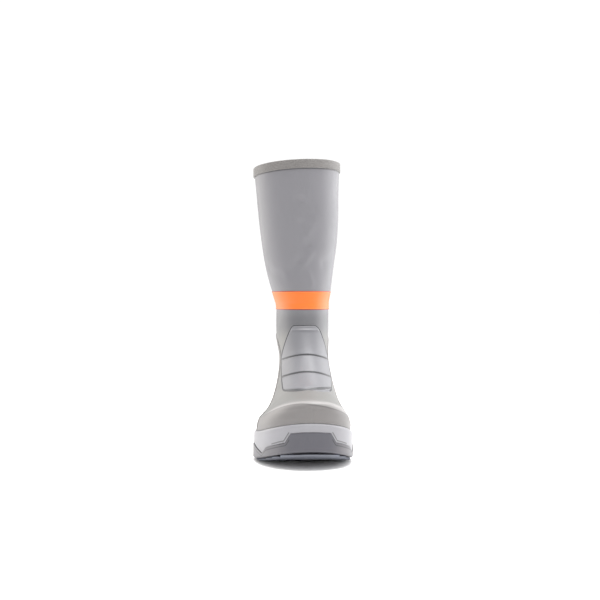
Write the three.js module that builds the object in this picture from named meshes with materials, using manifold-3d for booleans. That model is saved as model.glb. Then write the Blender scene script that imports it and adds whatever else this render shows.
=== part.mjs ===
// Right deck boot, modelled in millimetres, +Z up, toe towards -Y, medial side towards +X.
// Upper and sole come from one surface function: a stack of rings, each a foot or leg outline.
import * as THREE from 'three';
import { mergeVertices } from 'three/addons/utils/BufferGeometryUtils.js';
import Module from 'manifold-3d';

const wasm = await Module();
wasm.setup();

// Driving dimensions of the last and the leg
const SOLE_LENGTH = 309;
const BALL_WIDTH = 127;
const SOLE_LIP = 4.6;
const FEATHER_HEIGHT = 36;
const ANKLE_HEIGHT = 190;
const BOOT_HEIGHT = 381;
const COLLAR_DRAW_IN = 10;
const COLLAR_WIDTH = BALL_WIDTH - COLLAR_DRAW_IN;
const COLLAR_DEPTH = 140;
const COLLAR_RISE = 4.5;
const COLLAR_TILT = 3;
const TOE_SPRING = 21;
const SPRING_START = 185;
const WALL = 2.6;
const SEAT_GAP = 0.3;

// Driving dimensions of the sole
const ARCH_HEIGHT = 6;
const ARCH_START = 82;
const ARCH_END = 150;
const ARCH_SLOPE = 9;
const TREAD_DEPTH = 2.4;
const CORE_HEIGHT = 14;
const SPLIT_INSET = 12;
const OUTSOLE_STEP = 0.9;
const OUTSOLE_CHAMFER = 1.6;
const WELL_HEIGHT = 23;
const INSOLE_THICKNESS = 5;
const INSOLE_CLEARANCE = 0.5;
const INSOLE_BEVEL = 1.2;
const LUG_LENGTH = 9;
const LUG_GROOVE = 4.5;
const LUG_INSET = 4;
const LUG_TAPER = 1;
const LUG_SWEEP = 6;
const LUG_FOREFOOT_START = 152;

// Driving dimensions of what lies on the upper
const TOE_GUARD_HEIGHT = 23.5;
const TOE_GUARD_SIDE = 10.5;
const TOE_GUARD_LEAN = 0.09;
const TOE_GUARD_THICKNESS = 1.3;
const TOE_GUARD_END = 0.738;
const TOE_GUARD_RAKE = 0.018;
const TOE_GUARD_STEPS = 10;
const GUARD_WEB = 0.6;
const GUARD_PAD = 1.7;
const GUARD_GROOVE = 2;
const GUARD_FOOT_ARCH = 0.026;
const GUARD_MARGIN = 1.5;
const GUARD_BEHIND = 0.385;
const GUARD_MIDDLE = 0.062;
const GUARD_REACH = 0.3;
const GUARD_FOOT_MARGIN = 2.4;
const HEEL_GUARD_THICKNESS = 1.1;
const BAND_HEIGHT = 25;
const BAND_BASE = 187;
const BAND_THICKNESS = 0.5;
const BINDING_HEIGHT = 12;
const BINDING_THICKNESS = 1;

// Resolution of the solids
const COLUMNS = 40;
const FINE_ROWS = 5;
const SOLE_STEP_DEGREES = 8;
const GROOVE_STEPS = 8;

// Plan outline of the foot against a plain ellipse, from heel (0) to toe (1).
// lateral and medial: fullness of each side, axis: shift of the middle as a share of ball width
const OUTLINE = [
  { along: 0.00, lateral: 0.98, medial: 0.98, axis: 0.000 },
  { along: 0.12, lateral: 0.92, medial: 0.92, axis: 0.000 },
  { along: 0.26, lateral: 0.84, medial: 0.82, axis: -0.006 },
  { along: 0.42, lateral: 0.84, medial: 0.78, axis: -0.024 },
  { along: 0.56, lateral: 0.95, medial: 0.92, axis: -0.044 },
  { along: 0.69, lateral: 1.06, medial: 1.06, axis: -0.054 },
  { along: 0.82, lateral: 1.14, medial: 1.18, axis: -0.046 },
  { along: 0.93, lateral: 1.26, medial: 1.32, axis: -0.030 },
  { along: 1.00, lateral: 1.36, medial: 1.40, axis: -0.018 },
];

// Rings of the foot. front and back: shares of the upper's length from the heel,
// top and rear: heights of the ring's front and back as shares of the rise from feather to ankle,
// half: half width and middle: centre as shares of ball width, foot: how far the outline applies
const FOOT_RINGS = [
  { front: 1.000, top: 0.000, back: 0.000, rear: 0.000, half: 0.498, middle: 0.058, foot: 1.00 },
  { front: 0.998, top: 0.052, back: -0.003, rear: 0.046, half: 0.494, middle: 0.061, foot: 1.00 },
  { front: 0.993, top: 0.107, back: -0.003, rear: 0.098, half: 0.478, middle: 0.070, foot: 0.95 },
  { front: 0.978, top: 0.162, back: 0.000, rear: 0.156, half: 0.425, middle: 0.083, foot: 0.86 },
  { front: 0.880, top: 0.217, back: 0.007, rear: 0.226, half: 0.376, middle: 0.083, foot: 0.72 },
  { front: 0.757, top: 0.312, back: 0.017, rear: 0.305, half: 0.336, middle: 0.081, foot: 0.50 },
  { front: 0.633, top: 0.442, back: 0.027, rear: 0.416, half: 0.300, middle: 0.077, foot: 0.28 },
  { front: 0.532, top: 0.597, back: 0.037, rear: 0.545, half: 0.278, middle: 0.069, foot: 0.12 },
  { front: 0.465, top: 0.792, back: 0.040, rear: 0.740, half: 0.299, middle: 0.054, foot: 0.00 },
  { front: 0.431, top: 1.000, back: 0.037, rear: 1.000, half: 0.303, middle: 0.058, foot: 0.00 },
];

// Rings of the leg. height: share of the rise from ankle to collar, front and back: shares of the
// collar's depth from the upper's heel, half: half width and middle: centre as shares of its width,
// tilt: share of the collar's tilt up to the medial side
const LEG_RINGS = [
  { height: 0.050, front: 0.914, back: 0.074, half: 0.315, middle: 0.052, tilt: 0.00 },
  { height: 0.115, front: 0.914, back: 0.066, half: 0.343, middle: 0.046, tilt: 0.00 },
  { height: 0.210, front: 0.914, back: 0.050, half: 0.376, middle: 0.034, tilt: 0.02 },
  { height: 0.320, front: 0.921, back: 0.034, half: 0.408, middle: 0.026, tilt: 0.06 },
  { height: 0.440, front: 0.934, back: 0.016, half: 0.438, middle: 0.024, tilt: 0.14 },
  { height: 0.620, front: 0.957, back: -0.002, half: 0.466, middle: 0.016, tilt: 0.34 },
  { height: 0.800, front: 0.978, back: -0.012, half: 0.481, middle: 0.003, tilt: 0.64 },
  { height: 1.000, front: 0.985, back: -0.015, half: 0.500, middle: -0.006, tilt: 1.00 },
];

// Top edge of the outsole round the boot, from the toe (0) to the heel (180 degrees):
// a square toe bumper, a sharp dip beside it, and one wave each at the ball, arch and heel
const SPLIT = [
  { turn: 0, height: 0.71 },
  { turn: 16, height: 0.71 },
  { turn: 21, height: 0.43 },
  { turn: 41, height: 0.38 },
  { turn: 47, height: 0.22 },
  { turn: 65, height: 0.58 },
  { turn: 70, height: 0.58 },
  { turn: 79, height: 0.30 },
  { turn: 92, height: 0.48 },
  { turn: 112, height: 0.48 },
  { turn: 132, height: 0.58 },
  { turn: 142, height: 0.28 },
  { turn: 154, height: 0.58 },
  { turn: 180, height: 0.58 },
];

// Outline of the instep guard from its foot upwards, as seen from the front.
// height: share of the rise from feather to ankle, lateral and medial: shares of the upper's width
const GUARD_OUTLINE = [
  { height: 0.314, lateral: -0.200, medial: 0.308 },
  { height: 0.392, lateral: -0.204, medial: 0.326 },
  { height: 0.468, lateral: -0.200, medial: 0.326 },
  { height: 0.560, lateral: -0.194, medial: 0.312 },
  { height: 0.640, lateral: -0.174, medial: 0.292 },
  { height: 0.726, lateral: -0.140, medial: 0.258 },
  { height: 0.810, lateral: -0.096, medial: 0.212 },
  { height: 0.846, lateral: -0.066, medial: 0.168 },
];

// Arched grooves across the instep guard: height at the middle and fall to the sides
const GUARD_GROOVES = [
  { height: 0.470, fall: 0.050 },
  { height: 0.606, fall: 0.050 },
];

// Side outline of the heel guard, whose front edge sweeps up from the ball to the ankle.
// along: share of the upper's length, height: as the rings
const HEEL_GUARD_OUTLINE = [
  { along: -0.10, height: -0.100 },
  { along: 0.726, height: -0.100 },
  { along: 0.722, height: 0.030 },
  { along: 0.700, height: 0.084 },
  { along: 0.655, height: 0.140 },
  { along: 0.600, height: 0.218 },
  { along: 0.505, height: 0.315 },
  { along: 0.430, height: 0.445 },
  { along: 0.365, height: 0.595 },
  { along: 0.300, height: 0.710 },
  { along: 0.200, height: 0.770 },
  { along: -0.10, height: 0.800 },
];

const UPPER_LENGTH = SOLE_LENGTH - 2 * SOLE_LIP;
const UPPER_WIDTH = BALL_WIDTH - 2 * SOLE_LIP;
const FEATHER = FEATHER_HEIGHT + SEAT_GAP;
const RISE = ANKLE_HEIGHT - FEATHER;
const LEG = BOOT_HEIGHT - BINDING_THICKNESS - SEAT_GAP - ANKLE_HEIGHT;
const HALF_TURN = Math.PI;

// One list of rings in millimetres, from the feather line to the collar
const RINGS = [
  ...FOOT_RINGS.map((row) => ({
    front: SOLE_LIP + row.front * UPPER_LENGTH,
    top: FEATHER + row.top * RISE,
    back: SOLE_LIP + row.back * UPPER_LENGTH,
    rear: FEATHER + row.rear * RISE,
    half: row.half * UPPER_WIDTH,
    middle: row.middle * UPPER_WIDTH,
    foot: row.foot,
    tilt: 0,
  })),
  ...LEG_RINGS.map((row) => ({
    front: SOLE_LIP + row.front * COLLAR_DEPTH,
    top: ANKLE_HEIGHT + row.height * (LEG + COLLAR_RISE),
    back: SOLE_LIP + row.back * COLLAR_DEPTH,
    rear: ANKLE_HEIGHT + row.height * LEG,
    half: row.half * COLLAR_WIDTH,
    middle: row.middle * COLLAR_WIDTH,
    foot: 0,
    tilt: row.tilt * COLLAR_TILT,
  })),
];
const TOP_LEVEL = RINGS.length - 1;

// Smooth value of one column at a place between rows, whose keys may be unevenly spaced
function smooth(rows, key, column, at) {
  const last = rows.length - 1;
  const place = (i) => (key ? rows[i][key] : i);
  let i = 0;
  while (i < last - 1 && place(i + 1) < at) i += 1;
  const slope = (j) => {
    const low = Math.max(j - 1, 0);
    const high = Math.min(j + 1, last);
    return (rows[high][column] - rows[low][column]) / (place(high) - place(low));
  };
  const span = place(i + 1) - place(i);
  const f = Math.min(Math.max((at - place(i)) / span, 0), 1);
  const bend = f * f * (3 - 2 * f);
  const start = f * (1 - f) * (1 - f);
  const end = f * f * (f - 1);
  return rows[i][column] * (1 - bend) + rows[i + 1][column] * bend
    + span * (slope(i) * start + slope(i + 1) * end);
}

// Straight value between rows, for edges with corners
function straight(rows, key, column, at) {
  let i = 0;
  while (i < rows.length - 2 && rows[i + 1][key] < at) i += 1;
  const f = (at - rows[i][key]) / (rows[i + 1][key] - rows[i][key]);
  return rows[i][column] + (rows[i + 1][column] - rows[i][column]) * Math.min(Math.max(f, 0), 1);
}

// Rise of the whole forefoot towards the toe at a distance from the heel
function spring(along) {
  const share = Math.max(along - SPRING_START, 0) / (SOLE_LENGTH - SPRING_START);
  return TOE_SPRING * share * share;
}

// Rise of the sole's underside at the arch
function arch(along) {
  const rise = Math.min(along - ARCH_START, ARCH_END - along) / ARCH_SLOPE;
  const share = Math.min(Math.max(rise, 0), 1);
  return ARCH_HEIGHT * share * share * (3 - 2 * share);
}

function place(x, along, z) {
  return new THREE.Vector3(x, SOLE_LENGTH / 2 - along, z);
}

function alongOf(point) {
  return SOLE_LENGTH / 2 - point.y;
}

// Point of the boot's outer surface. level: ring number, turn: angle from the heel (0) over the
// lateral side to the toe (half a turn) and back over the medial side
function surface(level, turn) {
  const ring = {};
  for (const column of ['front', 'top', 'back', 'rear', 'half', 'middle', 'foot', 'tilt']) {
    ring[column] = smooth(RINGS, null, column, level);
  }
  const share = (1 - Math.cos(turn)) / 2;
  const side = Math.sin(turn) > 0 ? 'lateral' : 'medial';
  const fullness = 1 + (smooth(OUTLINE, 'along', side, share) - 1) * ring.foot;
  const axis = smooth(OUTLINE, 'along', 'axis', share) * BALL_WIDTH * ring.foot;
  const along = ring.back + (ring.front - ring.back) * share;
  const height = ring.rear + (ring.top - ring.rear) * share - ring.tilt * Math.sin(turn);
  return place(ring.middle + axis - ring.half * fullness * Math.sin(turn), along,
    height + spring(along));
}

// Outward direction of the surface, level at the feather line and at the collar
function outward(level, turn) {
  const step = 0.02;
  const low = Math.max(level - step, 0);
  const high = Math.min(level + step, TOP_LEVEL);
  const up = surface(high, turn).sub(surface(low, turn));
  const round = surface(level, turn + step).sub(surface(level, turn - step));
  const normal = round.cross(up);
  if (level === 0 || level === TOP_LEVEL) normal.z = 0;
  return normal.normalize();
}

function offsetPoint(level, turn, offset, lift = 0) {
  const point = surface(level, turn).addScaledVector(outward(level, turn), offset);
  point.z += lift;
  return point;
}

const TURNS = Array.from({ length: COLUMNS }, (_, i) => (i / COLUMNS) * 2 * HALF_TURN);
const LEVELS = [];
for (let level = 0; level < FINE_ROWS; level += 0.5) LEVELS.push(level);
for (let level = FINE_ROWS; level <= TOP_LEVEL; level += 1) LEVELS.push(level);

function ringOf(level, offset, lift = 0) {
  return TURNS.map((turn) => offsetPoint(level, turn, offset, lift));
}

// Closed geometry from a stack of rings of equal length, from the bottom up. A capped stack is
// closed by strips across its first and last ring, an endless one joins its last ring to its first.
function stack(rings, endless = false) {
  const count = rings[0].length;
  const faces = [];
  const quad = (a, b, c, d) => {
    if (a !== b && b !== c) faces.push(a, b, c);
    if (a !== d && c !== d) faces.push(a, c, d);
  };
  const bands = endless ? rings.length : rings.length - 1;
  for (let r = 0; r < bands; r += 1) {
    const low = r * count;
    const high = ((r + 1) % rings.length) * count;
    for (let i = 0; i < count; i += 1) {
      const next = (i + 1) % count;
      quad(low + i, low + next, high + next, high + i);
    }
  }
  if (!endless) {
    const top = (rings.length - 1) * count;
    for (let i = 0; i < count / 2; i += 1) {
      const across = (count - i) % count;
      quad(i, across, count - i - 1, i + 1);
      quad(top + i, top + i + 1, top + count - i - 1, top + across);
    }
  }
  const geometry = new THREE.BufferGeometry();
  const positions = rings.flat().flatMap((point) => [point.x, point.y, point.z]);
  geometry.setAttribute('position', new THREE.Float32BufferAttribute(positions, 3));
  geometry.setIndex(faces);
  return geometry;
}

function toSolid(geometry) {
  return new wasm.Manifold(new wasm.Mesh({
    numProp: 3,
    vertProperties: new Float32Array(geometry.getAttribute('position').array),
    triVerts: new Uint32Array(geometry.index.array),
  }));
}

function fromSolid(solid) {
  const mesh = solid.getMesh();
  const geometry = new THREE.BufferGeometry();
  geometry.setAttribute('position', new THREE.Float32BufferAttribute(mesh.vertProperties, 3));
  geometry.setIndex(Array.from(mesh.triVerts));
  return geometry;
}

// Solid prism of a polygon. axes: where the polygon's two directions and the depth point
function prism(corners, depth, axes, start) {
  const outline = new THREE.Shape(corners.map(([u, v]) => new THREE.Vector2(u, v)));
  let geometry = new THREE.ExtrudeGeometry(outline, { depth, bevelEnabled: false });
  geometry.applyMatrix4(new THREE.Matrix4().makeBasis(...axes));
  geometry.translate(start.x, start.y, start.z);
  geometry.deleteAttribute('normal');
  geometry.deleteAttribute('uv');
  geometry = mergeVertices(geometry);
  return toSolid(geometry);
}

const X_AXIS = new THREE.Vector3(1, 0, 0);
const Y_AXIS = new THREE.Vector3(0, 1, 0);
const Z_AXIS = new THREE.Vector3(0, 0, 1);

// Polygon of the front view (x, height), from a distance from the heel forwards past the toe
function frontPrism(corners, along) {
  const depth = 2 * SOLE_LENGTH - along;
  return prism(corners, depth, [X_AXIS, Z_AXIS, Y_AXIS.clone().negate()], place(0, along, 0));
}

// Polygon of the side view (distance from the heel, height), right across the boot.
// lean: how steeply it falls to the medial side
function sidePrism(corners, lean = 0) {
  const points = corners.map(([along, z]) => [SOLE_LENGTH / 2 - along, z]);
  const start = new THREE.Vector3(-BALL_WIDTH, 0, BALL_WIDTH * lean);
  const across = new THREE.Vector3(1, 0, -lean);
  return prism(points, 2 * BALL_WIDTH, [Y_AXIS, Z_AXIS, across], start);
}

// Polygon of the plan (x, distance from the heel), from below the floor up to the feather line
function planPrism(corners) {
  const points = corners.map(([x, along]) => [x, SOLE_LENGTH / 2 - along]);
  const start = new THREE.Vector3(0, 0, -FEATHER_HEIGHT);
  return prism(points, 2 * FEATHER_HEIGHT, [X_AXIS, Y_AXIS, Z_AXIS], start);
}

// The whole outer form, filled and grown by an offset, with an end ring below and above it.
// ends: offset of the end rings, reach: how far they lie beyond the form
function form(offset, ends, reach) {
  return toSolid(stack([
    ringOf(0, ends, -reach),
    ...LEVELS.map((level) => ringOf(level, offset)),
    ringOf(TOP_LEVEL, ends, reach),
  ]));
}

// Layer of the upper's own form that lies on it with the seat gap
const SEAT_FORM = form(SEAT_GAP, SEAT_GAP, FEATHER_HEIGHT / 2);
function layer(thickness) {
  return form(SEAT_GAP + thickness, -WALL, 0).subtract(SEAT_FORM);
}

// Height of a share of the rise from the feather line to the ankle
function riseAt(share) {
  return FEATHER + share * RISE;
}

// Turns round the sole: both sides have a column at each corner of the outsole's top edge
function soleTurns() {
  const side = [];
  for (let i = 0; i < SPLIT.length - 1; i += 1) {
    const span = SPLIT[i + 1].turn - SPLIT[i].turn;
    const steps = Math.ceil(span / SOLE_STEP_DEGREES);
    for (let j = 0; j < steps; j += 1) side.push(SPLIT[i].turn + (span * j) / steps);
  }
  const lateral = [180, ...side.slice(1).reverse()];
  const degrees = [...lateral, ...side.map((turn) => -turn)];
  return degrees.map((turn) => HALF_TURN - THREE.MathUtils.degToRad(turn));
}

// Ring round the sole, inset from its edge. heightAt: height without the toe spring, which each
// ring takes from the feather line, so that rings at one height stay level with each other
function soleRing(inset, heightAt) {
  const step = 0.02;
  return soleTurns().map((turn) => {
    const round = surface(0, turn + step).sub(surface(0, turn - step));
    const normal = new THREE.Vector3(round.y, -round.x, 0).normalize();
    const point = surface(0, turn);
    const along = alongOf(point);
    const fromToe = THREE.MathUtils.radToDeg(Math.abs(HALF_TURN - turn));
    point.addScaledVector(normal, SOLE_LIP - inset);
    point.z = heightAt(along, fromToe) + spring(along);
    return point;
  });
}

const splitHeight = (along, fromToe) => straight(SPLIT, 'turn', 'height', fromToe) * FEATHER_HEIGHT;

// Lugs: a tread slab inside the edge, cut across by swept grooves and cleared at the arch
function makeTread() {
  const slab = toSolid(stack([
    soleRing(LUG_INSET + LUG_TAPER, () => 0),
    soleRing(LUG_INSET, () => TREAD_DEPTH + SEAT_GAP),
  ]));
  const groove = (from, to) => planPrism([
    [-BALL_WIDTH, from - LUG_SWEEP], [0, from], [BALL_WIDTH, from - LUG_SWEEP],
    [BALL_WIDTH, to - LUG_SWEEP], [0, to], [-BALL_WIDTH, to - LUG_SWEEP],
  ]);
  let tread = slab.subtract(groove(ARCH_START - LUG_GROOVE, LUG_FOREFOOT_START));
  const pitch = LUG_LENGTH + LUG_GROOVE;
  for (let along = pitch; along < ARCH_START - pitch; along += pitch) {
    tread = tread.subtract(groove(along, along + LUG_GROOVE));
  }
  for (let along = LUG_FOREFOOT_START + LUG_LENGTH; along < SOLE_LENGTH - pitch; along += pitch) {
    tread = tread.subtract(groove(along, along + LUG_GROOVE));
  }
  return tread;
}

// Outsole without its tread: a tray whose top edge rises and dips round the boot
function outsoleTray() {
  return toSolid(stack([
    soleRing(OUTSOLE_CHAMFER, (along) => TREAD_DEPTH + arch(along)),
    soleRing(0, (along) => TREAD_DEPTH + OUTSOLE_CHAMFER + arch(along)),
    soleRing(0, splitHeight),
    soleRing(OUTSOLE_STEP, splitHeight),
    soleRing(SPLIT_INSET, () => CORE_HEIGHT),
  ]));
}

function makeOutsole() {
  return fromSolid(outsoleTray().add(makeTread()));
}

const WELL_INSET = SOLE_LIP + WALL + SEAT_GAP;

// Midsole: a block with the insole's well, cut to sit on the outsole's tray
function makeMidsole() {
  const block = toSolid(stack([
    soleRing(OUTSOLE_STEP, (along) => TREAD_DEPTH + 2 * OUTSOLE_CHAMFER + arch(along)),
    soleRing(OUTSOLE_STEP, () => FEATHER_HEIGHT),
    soleRing(WELL_INSET, () => FEATHER_HEIGHT),
    soleRing(WELL_INSET, () => WELL_HEIGHT),
  ]));
  return fromSolid(block.subtract(outsoleTray().translate([0, 0, SEAT_GAP])));
}

function makeInsole() {
  const floor = WELL_HEIGHT + SEAT_GAP;
  const edge = WELL_INSET + INSOLE_CLEARANCE;
  return stack([
    soleRing(edge, () => floor),
    soleRing(edge, () => floor + INSOLE_THICKNESS - INSOLE_BEVEL),
    soleRing(edge + INSOLE_BEVEL, () => floor + INSOLE_THICKNESS),
  ]);
}

function makeUpper() {
  const outer = LEVELS.map((level) => ringOf(level, 0));
  const inner = LEVELS.map((level) => ringOf(level, -WALL));
  return stack([...outer, ...inner.reverse()], true);
}

// Raised rand round the toe, on the feather line and its toe spring, tallest at the toe
function makeToeGuard() {
  const end = SOLE_LIP + TOE_GUARD_END * UPPER_LENGTH;
  const topEnd = end + TOE_GUARD_RAKE * UPPER_LENGTH;
  const reach = SOLE_LENGTH + SOLE_LIP;
  const corners = [[end, 0], [reach, 0]];
  for (let i = TOE_GUARD_STEPS; i >= 0; i -= 1) {
    const share = i / TOE_GUARD_STEPS;
    const along = topEnd + (reach - topEnd) * share;
    const swell = Math.sin((share * HALF_TURN) / 2);
    const height = TOE_GUARD_SIDE + (TOE_GUARD_HEIGHT - TOE_GUARD_SIDE) * swell;
    corners.push([along, FEATHER + height + spring(along)]);
  }
  return fromSolid(layer(TOE_GUARD_THICKNESS).intersect(sidePrism(corners, TOE_GUARD_LEAN)));
}

// Front view of the instep guard, drawn in by a margin, with an arched foot
function guardCorners(margin, footMargin) {
  const last = GUARD_OUTLINE.length - 1;
  const edge = (side, sign) => GUARD_OUTLINE.map((row, i) => {
    const inwards = (i === last ? -margin : 0) + (i === 0 ? footMargin : 0);
    return [row[side] * UPPER_WIDTH - sign * margin, riseAt(row.height) + inwards];
  });
  const foot = riseAt(GUARD_OUTLINE[0].height + GUARD_FOOT_ARCH) + footMargin;
  return [
    ...edge('medial', 1),
    ...edge('lateral', -1).reverse(),
    [GUARD_MIDDLE * UPPER_WIDTH, foot],
  ];
}

// Front view of one arched groove across the instep guard
function grooveCorners(row) {
  const top = [];
  for (let i = 0; i <= GROOVE_STEPS; i += 1) {
    const across = -1 + (2 * i) / GROOVE_STEPS;
    const z = riseAt(row.height - row.fall * across * across);
    top.push([(GUARD_MIDDLE + across * GUARD_REACH) * UPPER_WIDTH, z]);
  }
  return [...top, ...top.map(([x, z]) => [x, z - GUARD_GROOVE]).reverse()];
}

function makeInstepGuard() {
  const start = SOLE_LIP + GUARD_BEHIND * UPPER_LENGTH;
  const web = layer(GUARD_WEB).intersect(frontPrism(guardCorners(0, 0), start));
  let pads = layer(GUARD_PAD).intersect(frontPrism(guardCorners(GUARD_MARGIN, GUARD_FOOT_MARGIN), start));
  for (const row of GUARD_GROOVES) pads = pads.subtract(frontPrism(grooveCorners(row), start));
  return fromSolid(web.add(pads));
}

function makeHeelGuard() {
  const corners = HEEL_GUARD_OUTLINE.map((row) => [
    SOLE_LIP + row.along * UPPER_LENGTH,
    riseAt(row.height),
  ]);
  return fromSolid(layer(HEEL_GUARD_THICKNESS).intersect(sidePrism(corners)));
}

function makeAnkleBand() {
  const top = BAND_BASE + BAND_HEIGHT;
  const corners = [[-SOLE_LENGTH, BAND_BASE], [SOLE_LENGTH, BAND_BASE],
    [SOLE_LENGTH, top], [-SOLE_LENGTH, top]];
  return fromSolid(layer(BAND_THICKNESS).intersect(sidePrism(corners)));
}

// Binding folded over the collar: a closed U section round the edge of the upper
function makeBinding() {
  const outer = SEAT_GAP + BINDING_THICKNESS;
  const inner = -WALL - SEAT_GAP - BINDING_THICKNESS;
  const fold = SEAT_GAP + BINDING_THICKNESS;
  const lastRow = RINGS[TOP_LEVEL].rear - RINGS[TOP_LEVEL - 1].rear;
  const hem = TOP_LEVEL - (BINDING_HEIGHT - fold) / lastRow;
  return stack([
    ringOf(hem, outer),
    ringOf(TOP_LEVEL, outer),
    ringOf(TOP_LEVEL, outer - fold / 2, fold),
    ringOf(TOP_LEVEL, inner + fold / 2, fold),
    ringOf(TOP_LEVEL, inner),
    ringOf(hem, inner),
    ringOf(hem, -WALL - SEAT_GAP),
    ringOf(TOP_LEVEL, -WALL - SEAT_GAP, SEAT_GAP),
    ringOf(TOP_LEVEL, SEAT_GAP, SEAT_GAP),
    ringOf(hem, SEAT_GAP),
  ], true);
}

const RUBBER_GREY = new THREE.MeshStandardMaterial({ color: 0x95939a, roughness: 0.5, metalness: 0 });
const GUARD_GREY = new THREE.MeshStandardMaterial({ color: 0xa9a8ad, roughness: 0.5, metalness: 0 });
const TOE_GREY = new THREE.MeshStandardMaterial({ color: 0x969492, roughness: 0.5, metalness: 0 });
const FOXING_GREY = new THREE.MeshStandardMaterial({ color: 0xcbcacf, roughness: 0.55, metalness: 0 });
const TREAD_GREY = new THREE.MeshStandardMaterial({ color: 0x6c6b72, roughness: 0.6, metalness: 0 });
const BAND_ORANGE = new THREE.MeshStandardMaterial({ color: 0xff7f42, roughness: 0.5, metalness: 0 });
const LINING_GREY = new THREE.MeshStandardMaterial({ color: 0x4c4b50, roughness: 0.95, metalness: 0 });

const boot = new THREE.Group();
function addPiece(name, geometry, material) {
  const mesh = new THREE.Mesh(geometry, material);
  mesh.name = name;
  boot.add(mesh);
}

addPiece('outsole', makeOutsole(), TREAD_GREY);
addPiece('midsole', makeMidsole(), FOXING_GREY);
addPiece('insole', makeInsole(), LINING_GREY);
addPiece('upper', makeUpper(), RUBBER_GREY);
addPiece('toe_guard', makeToeGuard(), TOE_GREY);
addPiece('instep_guard', makeInstepGuard(), GUARD_GREY);
addPiece('heel_guard', makeHeelGuard(), TOE_GREY);
addPiece('ankle_band', makeAnkleBand(), BAND_ORANGE);
addPiece('collar_binding', makeBinding(), RUBBER_GREY);

export default boot;
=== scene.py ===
"""Right deck boot of moulded and laid-up rubber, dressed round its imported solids.

Sizes in the tables are millimetres; every mesh is written in metres. The toe points to -Y.
"""
import math

import bpy
import numpy as np
from bpy.props import FloatProperty, FloatVectorProperty, PointerProperty
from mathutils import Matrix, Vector


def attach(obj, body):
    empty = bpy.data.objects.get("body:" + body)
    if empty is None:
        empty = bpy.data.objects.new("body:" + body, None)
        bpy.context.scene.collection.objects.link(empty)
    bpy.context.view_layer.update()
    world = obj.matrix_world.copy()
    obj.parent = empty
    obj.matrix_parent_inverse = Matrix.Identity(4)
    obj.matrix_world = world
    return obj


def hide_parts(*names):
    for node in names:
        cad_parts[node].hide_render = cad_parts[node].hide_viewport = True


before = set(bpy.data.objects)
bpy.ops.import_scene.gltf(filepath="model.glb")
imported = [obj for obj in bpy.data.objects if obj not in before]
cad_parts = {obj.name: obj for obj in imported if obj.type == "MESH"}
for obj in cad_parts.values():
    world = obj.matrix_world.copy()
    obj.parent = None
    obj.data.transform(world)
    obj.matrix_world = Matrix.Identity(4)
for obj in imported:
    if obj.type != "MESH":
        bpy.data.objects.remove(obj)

bl_info = {
    "name": "Deck boot",
    "version": (1, 0, 0),
    "blender": (4, 5, 0),
    "location": "3D View > Sidebar > Deck boot",
    "description": "Builds the rubber, lining and sole of a deck boot round its solids",
    "category": "Object",
}

MM = 0.001
HALF_TURN = math.pi

# Sizes of the last, the leg and the sole
SOLE_LENGTH = 309
BALL_WIDTH = 127
SOLE_LIP = 4.6
FEATHER_HEIGHT = 36
ANKLE_HEIGHT = 190
BOOT_HEIGHT = 381
COLLAR_WIDTH = 117
COLLAR_DEPTH = 140
COLLAR_RISE = 4.5
COLLAR_TILT = 3
TOE_SPRING = 21
SPRING_START = 185
WALL = 2.6
SEAT_GAP = 0.3
ARCH_HEIGHT = 6
ARCH_START = 82
ARCH_END = 150
ARCH_SLOPE = 9
TREAD_DEPTH = 2.4
CORE_HEIGHT = 14
SPLIT_INSET = 12
OUTSOLE_STEP = 0.9
WELL_HEIGHT = 23
INSOLE_THICKNESS = 5
LUG_LENGTH = 9
LUG_GROOVE = 4.5
LUG_INSET = 4
LUG_SWEEP = 6
LUG_FOREFOOT_START = 152
TOE_GUARD_HEIGHT = 23.5
TOE_GUARD_SIDE = 10.5
TOE_GUARD_LEAN = 0.09
TOE_GUARD_END = 0.738
TOE_GUARD_RAKE = 0.018
ANKLE_FADE = 160
BAND_BASE = 187
BAND_HEIGHT = 25
BINDING_HEIGHT = 12
GUARD_FOOT_ARCH = 0.026
GUARD_MIDDLE = 0.062
GUARD_REACH = 0.3
GUARD_RIM = 1.4
PANEL_END = 0.7235
TOE_SEAM = 6.5
TOE_RIDGE = 1.7
WARM = (1.0, 0.96, 0.9)
WHITE = (1.0, 1.0, 1.0)

# How far a layer's faces stand off the upper and sink into it, which keeps them closed
LIFT = 0.02
RAND_SUNK = 0.25
GUARD_SUNK = 0.3
BAND_SUNK = 0.2

# Radius at which the leg is unrolled for its creases, a field's value far from its line, and the
# rows of points down the lining
LEG_RADIUS = 52
FAR = 9.0
LINING_ROWS = 60

# Ridge above the toe guard: where along the foot it sets in, over what length, its half width, and
# the middle and half width of its painted highlight, a paler colour over the guard's edge
RIDGE_START = 225
RIDGE_FADE = 30
RIDGE_WIDTH = 7
HIGHLIGHT_OVER = 6
HIGHLIGHT_WIDTH = 8

# Paint: how far a lower colour fades out below and above its height, and a line's even core
FADE_BELOW = 14
FADE_ABOVE = 6
LINE_CORE = 0.35

# Softboxes: place, size in metres, power in watts and colour
LIGHTS = (
    ("softbox_left", (-1.5, 1.2, 0.6), 1.8, 20, WARM),
    ("softbox_right", (1.5, 0.9, 0.6), 1.8, 26, WHITE),
    ("softbox_top", (0.2, 0.1, 1.9), 1.5, 66, WHITE),
)

UPPER_LENGTH = SOLE_LENGTH - 2 * SOLE_LIP
UPPER_WIDTH = BALL_WIDTH - 2 * SOLE_LIP
FEATHER = FEATHER_HEIGHT + SEAT_GAP
RISE = ANKLE_HEIGHT - FEATHER
LEG = BOOT_HEIGHT - 1 - SEAT_GAP - ANKLE_HEIGHT
WELL_INSET = SOLE_LIP + WALL + SEAT_GAP


def table(names, *rows):
    """Columns of a table by name."""
    return dict(zip(names.split(), np.array(rows, float).T))


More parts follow.
